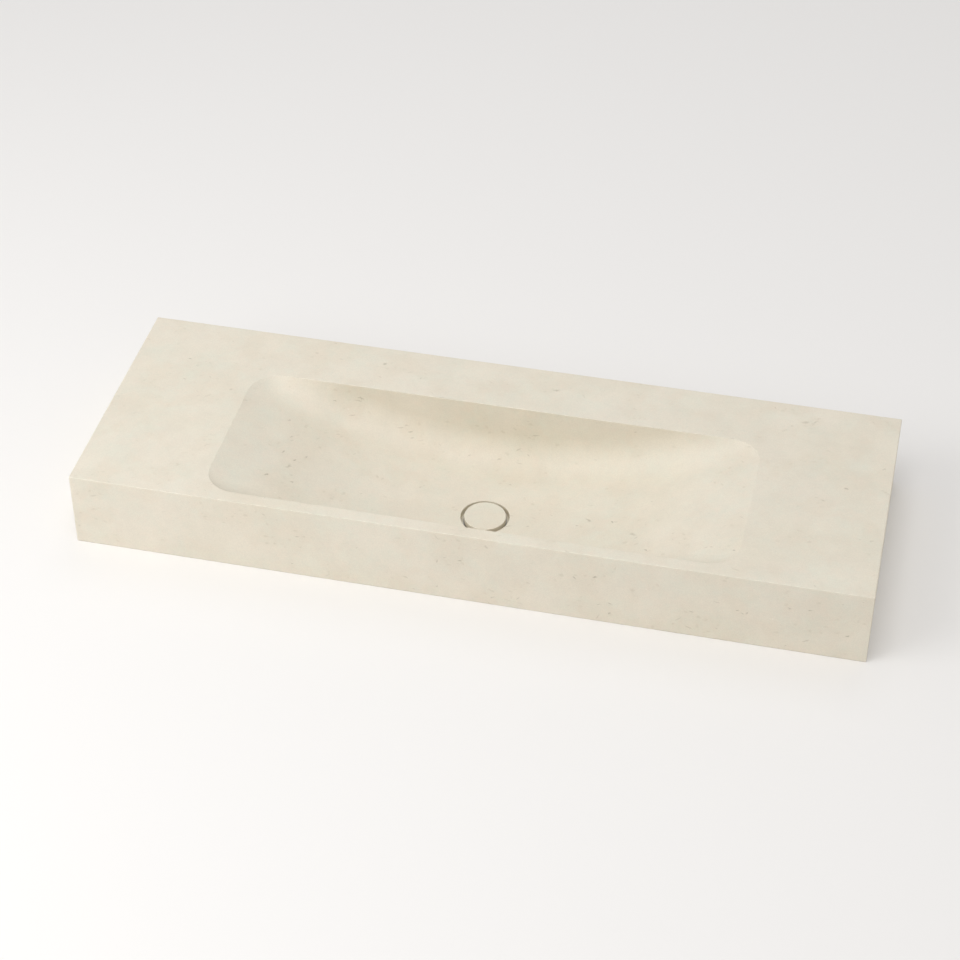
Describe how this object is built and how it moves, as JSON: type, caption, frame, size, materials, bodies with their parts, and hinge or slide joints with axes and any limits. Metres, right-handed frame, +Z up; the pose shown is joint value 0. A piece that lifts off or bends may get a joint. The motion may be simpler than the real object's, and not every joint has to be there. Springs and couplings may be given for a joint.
{
  "type": "washbasin",
  "caption": "Stone washbasin: a flat block with a wide bowl whose floor slopes from both ends to a middle drain under a lift-off stone cover.",
  "frame": {"origin": "centre of the flat base", "axes": "+X along the block to the right as seen from the user's side, +Y to the wall, +Z up"},
  "size_m": [1.2, 0.415, 0.126],
  "materials": {
    "limestone": "honed cream limestone with small brown and grey flecks",
    "cover_limestone": "honed cream limestone, cut from the same block",
    "stainless": "satin stainless steel",
    "polished_stainless": "polished stainless steel",
    "turned_stainless": "turned stainless steel",
    "insert_brass": "knurled brass",
    "gasket_rubber": "matt black rubber",
    "silicone": "soft grey silicone"
  },
  "bodies": {
    "basin": {"basin_block": "limestone", "outlet_body": "turned_stainless", "outlet_gasket": "gasket_rubber", "outlet_inserts": "insert_brass", "outlet_screws": "stainless", "outlet_washers": "stainless", "wall_sleeves": "stainless"},
    "strainer": {"strainer_disc": "polished_stainless", "strainer_knob": "polished_stainless"},
    "cover": {"drain_cover": "cover_limestone", "cover_plate": "stainless", "cover_studs": "stainless", "cover_foot_pads": "silicone"}
  },
  "joints": [
    {"name": "strainer_lift", "type": "slide", "parent": "basin", "child": "strainer", "axis": [0, 0, 1], "range_m": [0, 0.125]},
    {"name": "cover_lift", "type": "slide", "parent": "strainer", "child": "cover", "axis": [0, 0, 1], "range_m": [0, 0.125]}
  ]
}
